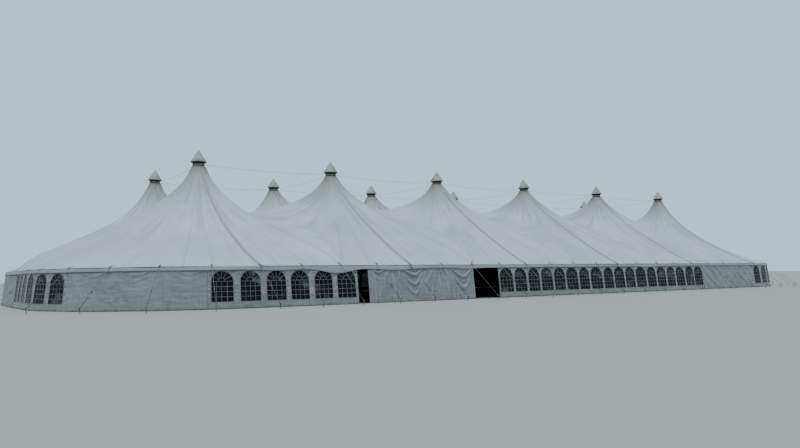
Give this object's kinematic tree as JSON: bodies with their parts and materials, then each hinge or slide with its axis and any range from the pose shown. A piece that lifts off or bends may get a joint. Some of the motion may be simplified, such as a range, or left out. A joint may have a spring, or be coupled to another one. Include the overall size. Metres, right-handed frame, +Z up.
{
  "type": "pole marquee tent, 1:2 scale model",
  "caption": "Long peg-and-pole marquee tent with two rows of peaks, arched windows in hanging side walls and two open doorways, as a half-size model.",
  "frame": {"origin": "on the ground in the middle of the plan", "axes": "+X along the tent to the right of its front, +Y from the front to the back, +Z up"},
  "size_m": [37.5264, 17.5264, 5.1],
  "materials": {
    "roof_cloth": "weathered off-white coated cloth",
    "wall_cloth": "off-white coated cloth, grimy at the foot",
    "clear_film": "clear flexible window film",
    "pole_steel": "galvanised steel tube",
    "cable_steel": "dull wire rope",
    "strap_webbing": "woven webbing",
    "hat_metal": "weathered pale paint"
  },
  "bodies": {
    "root": {"film_back_windows": "clear_film", "film_front_left_windows": "clear_film", "film_front_right_windows": "clear_film", "film_left_corner_windows": "clear_film", "film_left_end_windows": "clear_film", "film_right_corner_windows": "clear_film", "guys_back": "strap_webbing", "guys_front": "strap_webbing", "guys_left": "strap_webbing", "guys_right": "strap_webbing", "head_cables": "cable_steel", "king_pole_back_1": "pole_steel", "king_pole_back_2": "pole_steel", "king_pole_back_3": "pole_steel", "king_pole_back_4": "pole_steel", "king_pole_back_5": "pole_steel", "king_pole_back_6": "pole_steel", "king_pole_front_1": "pole_steel", "king_pole_front_2": "pole_steel", "king_pole_front_3": "pole_steel", "king_pole_front_4": "pole_steel", "king_pole_front_5": "pole_steel", "king_pole_front_6": "pole_steel", "pole_hat_back_1": "hat_metal", "pole_hat_back_2": "hat_metal", "pole_hat_back_3": "hat_metal", "pole_hat_back_4": "hat_metal", "pole_hat_back_5": "hat_metal", "pole_hat_back_6": "hat_metal", "pole_hat_front_1": "hat_metal", "pole_hat_front_2": "hat_metal", "pole_hat_front_3": "hat_metal", "pole_hat_front_4": "hat_metal", "pole_hat_front_5": "hat_metal", "pole_hat_front_6": "hat_metal", "roof_bay_1": "roof_cloth", "roof_bay_2": "roof_cloth", "roof_bay_3": "roof_cloth", "roof_bay_4": "roof_cloth", "roof_bay_5": "roof_cloth", "roof_left_end": "roof_cloth", "roof_right_end": "roof_cloth", "side_poles_back": "pole_steel", "side_poles_front": "pole_steel", "side_poles_left": "pole_steel", "side_poles_right": "pole_steel", "wall_back_left_corner": "wall_cloth", "wall_back_left_plain": "wall_cloth", "wall_back_right_corner": "wall_cloth", "wall_back_right_plain": "wall_cloth", "wall_back_windows": "wall_cloth", "wall_front_curtain": "wall_cloth", "wall_front_left_corner": "wall_cloth", "wall_front_left_windows": "wall_cloth", "wall_front_right_plain": "wall_cloth", "wall_front_right_windows": "wall_cloth", "wall_left_drape": "wall_cloth", "wall_left_windows": "wall_cloth", "wall_right_corner_windows": "wall_cloth", "wall_right_end": "wall_cloth"}
  },
  "joints": []
}
